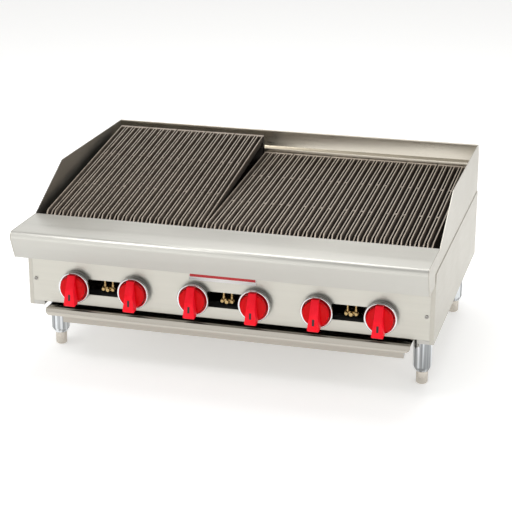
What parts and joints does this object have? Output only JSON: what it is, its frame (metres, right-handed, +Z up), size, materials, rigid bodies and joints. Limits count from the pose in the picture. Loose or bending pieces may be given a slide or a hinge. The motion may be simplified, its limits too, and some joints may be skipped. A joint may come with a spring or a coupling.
{
  "type": "countertop gas charbroiler grill",
  "caption": "Wide countertop gas grill: cast grates in raised and flat banks, bullnose ledge, red knobs in chrome bezels, slide-out drip tray, levelling legs.",
  "frame": {"origin": "on the counter, under the middle of the whole part's bounding box", "axes": "+X to the right along the width, -Y to the cook at the knobs, +Z up"},
  "size_m": [0.914, 0.729, 0.403],
  "materials": {
    "stainless": "brushed stainless sheet, grain along the width",
    "galvanised": "plain mill-finish steel sheet",
    "plate": "plain red enamelled badge",
    "screw": "zinc plated",
    "liner": "heat-darkened steel sheet",
    "black_pipe": "black iron pipe",
    "brass": "machined brass",
    "tube": "drawn tube",
    "cast_burner": "raw casting",
    "chrome": "bright plated",
    "red_knob": "glossy heat-proof moulding",
    "cast_grate": "seasoned casting, brown-grey",
    "tray_steel": "polished stainless sheet",
    "nickel": "satin nickel plated"
  },
  "bodies": {
    "body": {"base_frame": "galvanised", "left_side_panel": "stainless", "right_side_panel": "stainless", "left_splash_guard": "stainless", "right_splash_guard": "stainless", "back_panel": "galvanised", "backsplash": "stainless", "front_ledge": "stainless", "control_panel": "stainless", "nameplate": "plate", "panel_screws": "screw", "firebox": "liner", "front_grate_rail": "liner", "rear_grate_rail": "liner", "raised_grate_rest": "liner", "left_tray_rail": "galvanised", "right_tray_rail": "galvanised", "manifold": "black_pipe", "gas_inlet": "black_pipe", "valve_bodies": "brass", "pilot_valves": "brass", "pilot_tubes": "tube", "burners": "cast_burner", "radiants": "cast_burner", "knob_bezels": "chrome", "legs": "chrome", "leg_nuts": "screw"},
    "knob_1_turning": {"knob_1": "red_knob", "stem_1": "brass"},
    "knob_2_turning": {"knob_2": "red_knob", "stem_2": "brass"},
    "knob_3_turning": {"knob_3": "red_knob", "stem_3": "brass"},
    "knob_4_turning": {"knob_4": "red_knob", "stem_4": "brass"},
    "knob_5_turning": {"knob_5": "red_knob", "stem_5": "brass"},
    "knob_6_turning": {"knob_6": "red_knob", "stem_6": "brass"},
    "drip_tray_sliding": {"drip_tray": "tray_steel"},
    "grate_1_lifting": {"grate_1": "cast_grate"},
    "grate_2_lifting": {"grate_2": "cast_grate"},
    "grate_3_lifting": {"grate_3": "cast_grate"},
    "grate_4_lifting": {"grate_4": "cast_grate"},
    "grate_5_lifting": {"grate_5": "cast_grate"},
    "grate_6_lifting": {"grate_6": "cast_grate"},
    "grate_7_lifting": {"grate_7": "cast_grate"},
    "grate_8_lifting": {"grate_8": "cast_grate"},
    "grate_9_lifting": {"grate_9": "cast_grate"},
    "grate_10_lifting": {"grate_10": "cast_grate"},
    "grate_11_lifting": {"grate_11": "cast_grate"},
    "front_left_foot_levelling": {"front_left_foot": "nickel"},
    "front_right_foot_levelling": {"front_right_foot": "nickel"},
    "rear_left_foot_levelling": {"rear_left_foot": "nickel"},
    "rear_right_foot_levelling": {"rear_right_foot": "nickel"}
  },
  "joints": [
    {"name": "knob_1_turn", "type": "hinge", "parent": "body", "child": "knob_1_turning", "pos_m": [-0.3445, -0.2725, 0.177], "axis": [0, -1, 0], "range_deg": [0, 90]},
    {"name": "knob_2_turn", "type": "hinge", "parent": "body", "child": "knob_2_turning", "pos_m": [-0.2067, -0.2725, 0.177], "axis": [0, -1, 0], "range_deg": [0, 90]},
    {"name": "knob_3_turn", "type": "hinge", "parent": "body", "child": "knob_3_turning", "pos_m": [-0.0689, -0.2725, 0.177], "axis": [0, -1, 0], "range_deg": [0, 90]},
    {"name": "knob_4_turn", "type": "hinge", "parent": "body", "child": "knob_4_turning", "pos_m": [0.0689, -0.2725, 0.177], "axis": [0, -1, 0], "range_deg": [0, 90]},
    {"name": "knob_5_turn", "type": "hinge", "parent": "body", "child": "knob_5_turning", "pos_m": [0.2067, -0.2725, 0.177], "axis": [0, -1, 0], "range_deg": [0, 90]},
    {"name": "knob_6_turn", "type": "hinge", "parent": "body", "child": "knob_6_turning", "pos_m": [0.3445, -0.2725, 0.177], "axis": [0, -1, 0], "range_deg": [0, 90]},
    {"name": "drip_tray_slide", "type": "slide", "parent": "body", "child": "drip_tray_sliding", "axis": [0, -1, 0], "range_m": [0, 0.5]},
    {"name": "grate_1_lift", "type": "slide", "parent": "body", "child": "grate_1_lifting", "axis": [0, 0, 1], "range_m": [0, 0.15]},
    {"name": "grate_2_lift", "type": "slide", "parent": "body", "child": "grate_2_lifting", "axis": [0, 0, 1], "range_m": [0, 0.15]},
    {"name": "grate_3_lift", "type": "slide", "parent": "body", "child": "grate_3_lifting", "axis": [0, 0, 1], "range_m": [0, 0.15]},
    {"name": "grate_4_lift", "type": "slide", "parent": "body", "child": "grate_4_lifting", "axis": [0, 0, 1], "range_m": [0, 0.15]},
    {"name": "grate_5_lift", "type": "slide", "parent": "body", "child": "grate_5_lifting", "axis": [0, 0, 1], "range_m": [0, 0.15]},
    {"name": "grate_6_lift", "type": "slide", "parent": "body", "child": "grate_6_lifting", "axis": [0, 0, 1], "range_m": [0, 0.15]},
    {"name": "grate_7_lift", "type": "slide", "parent": "body", "child": "grate_7_lifting", "axis": [0, 0, 1], "range_m": [0, 0.15]},
    {"name": "grate_8_lift", "type": "slide", "parent": "body", "child": "grate_8_lifting", "axis": [0, 0, 1], "range_m": [0, 0.15]},
    {"name": "grate_9_lift", "type": "slide", "parent": "body", "child": "grate_9_lifting", "axis": [0, 0, 1], "range_m": [0, 0.15]},
    {"name": "grate_10_lift", "type": "slide", "parent": "body", "child": "grate_10_lifting", "axis": [0, 0, 1], "range_m": [0, 0.15]},
    {"name": "grate_11_lift", "type": "slide", "parent": "body", "child": "grate_11_lifting", "axis": [0, 0, 1], "range_m": [0, 0.15]},
    {"name": "front_left_foot_level", "type": "slide", "parent": "body", "child": "front_left_foot_levelling", "axis": [0, 0, -1], "range_m": [0, 0.025]},
    {"name": "front_right_foot_level", "type": "slide", "parent": "body", "child": "front_right_foot_levelling", "axis": [0, 0, -1], "range_m": [0, 0.025]},
    {"name": "rear_left_foot_level", "type": "slide", "parent": "body", "child": "rear_left_foot_levelling", "axis": [0, 0, -1], "range_m": [0, 0.025]},
    {"name": "rear_right_foot_level", "type": "slide", "parent": "body", "child": "rear_right_foot_levelling", "axis": [0, 0, -1], "range_m": [0, 0.025]}
  ]
}
